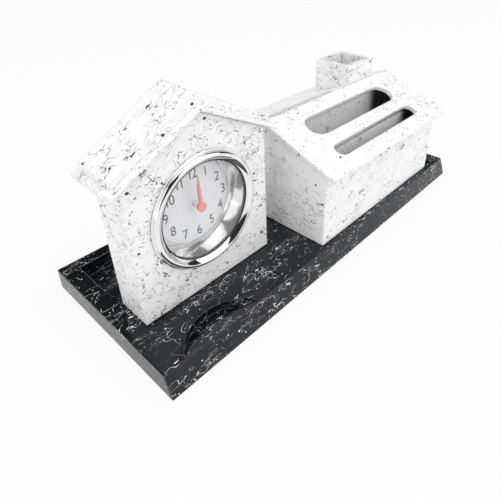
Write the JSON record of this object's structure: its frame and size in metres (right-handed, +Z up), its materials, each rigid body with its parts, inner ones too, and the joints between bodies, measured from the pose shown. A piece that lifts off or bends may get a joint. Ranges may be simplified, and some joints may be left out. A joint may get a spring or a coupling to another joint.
{
  "type": "pen holder clock",
  "caption": "Desk set of two gabled houses on a tray: one holds a round quartz clock, the other has roof slots and a square chimney for cards and pens",
  "frame": {"origin": "middle of the tray's base outline, on the desk surface that the feet rest on", "axes": "+X to the right along the tray, from the clock house to the pen house; +Y to the back; +Z up; the dial faces -Y"},
  "size_m": [0.2406, 0.0945, 0.1078],
  "materials": {
    "white_marble": "glossy white plastic with thin black marble veins",
    "black_marble": "glossy charcoal plastic with thin white marble veins",
    "chrome": "bright chrome plating",
    "clear_lens": "clear polished lens",
    "dial_white": "satin off-white dial",
    "hand_red": "satin red paint",
    "grey_plastic": "satin grey moulded plastic",
    "black_plastic": "satin black moulded plastic",
    "rubber": "matt black rubber",
    "steel": "bright steel",
    "brass": "spring brass",
    "copper_wire": "enamelled copper winding",
    "board_green": "green circuit board",
    "nylon": "natural moulded nylon"
  },
  "bodies": {
    "desk_set": {"clock_house_shell": "white_marble", "clock_house_roof": "white_marble", "clock_house_back_cover": "white_marble", "pen_house_shell": "white_marble", "pen_house_roof": "white_marble", "front_partition": "white_marble", "rear_partition": "white_marble", "chimney_tube": "white_marble", "tray_base": "black_marble", "bezel": "chrome", "reflector": "chrome", "lens": "clear_lens", "dial": "dial_white", "clock_cup": "grey_plastic", "coil_bobbin": "black_plastic", "foot_pad_1": "rubber", "foot_pad_2": "rubber", "foot_pad_3": "rubber", "foot_pad_4": "rubber", "grip_ring": "rubber", "clock_house_screw_left": "steel", "clock_house_screw_right": "steel", "pen_house_screw_left": "steel", "pen_house_screw_right": "steel", "cover_screw_left": "steel", "cover_screw_right": "steel", "cover_screw_top": "steel", "bridge_screw_1": "steel", "bridge_screw_2": "steel", "bridge_screw_3": "steel", "stator": "steel", "coil_core": "steel", "quartz_crystal": "steel", "battery_cell": "steel", "battery_contact": "brass", "coil_winding": "copper_wire", "circuit_board": "board_green", "main_plate": "nylon", "bridge": "nylon"},
    "minute_arbor": {"minute_hand": "hand_red", "centre_wheel": "nylon"},
    "hour_pipe": {"hour_hand": "hand_red", "hour_wheel": "nylon"},
    "minute_wheel_body": {"minute_wheel": "nylon"},
    "intermediate_body": {"intermediate_wheel": "nylon"},
    "rotor_body": {"rotor": "steel"},
    "knob_body": {"setting_knob": "black_plastic"},
    "hatch_body": {"battery_hatch": "grey_plastic", "battery_spring": "brass"}
  },
  "joints": [
    {"name": "minute_hand_turn", "type": "hinge", "parent": "desk_set", "child": "minute_arbor", "pos_m": [-0.07285, -0.00555, 0.0537], "axis": [0, 1, 0], "continuous": true},
    {"name": "hour_hand_turn", "type": "hinge", "parent": "desk_set", "child": "hour_pipe", "pos_m": [-0.07285, -0.00755, 0.0537], "axis": [0, 1, 0], "continuous": true},
    {"name": "minute_wheel_turn", "type": "hinge", "parent": "desk_set", "child": "minute_wheel_body", "pos_m": [-0.07606, -0.00655, 0.04987], "axis": [0, 1, 0], "continuous": true},
    {"name": "intermediate_turn", "type": "hinge", "parent": "desk_set", "child": "intermediate_body", "pos_m": [-0.07423, -0.00465, 0.0615], "axis": [0, 1, 0], "continuous": true},
    {"name": "rotor_turn", "type": "hinge", "parent": "desk_set", "child": "rotor_body", "pos_m": [-0.06773, -0.00735, 0.06265], "axis": [0, 1, 0], "continuous": true},
    {"name": "setting_knob_turn", "type": "hinge", "parent": "desk_set", "child": "knob_body", "pos_m": [-0.07928, -0.00025, 0.04604], "axis": [0, 1, 0], "continuous": true},
    {"name": "battery_hatch_turn", "type": "hinge", "parent": "desk_set", "child": "hatch_body", "pos_m": [-0.06145, -0.00225, 0.0433], "axis": [0, 1, 0], "range_deg": [0, 60]}
  ],
  "couplings": [
    {"joint": "hour_hand_turn", "follows": "minute_hand_turn", "ratio": 0.083333},
    {"joint": "minute_wheel_turn", "follows": "minute_hand_turn", "ratio": -0.33333},
    {"joint": "intermediate_turn", "follows": "minute_hand_turn", "ratio": -10},
    {"joint": "rotor_turn", "follows": "minute_hand_turn", "ratio": 90},
    {"joint": "setting_knob_turn", "follows": "minute_hand_turn", "ratio": 1}
  ]
}
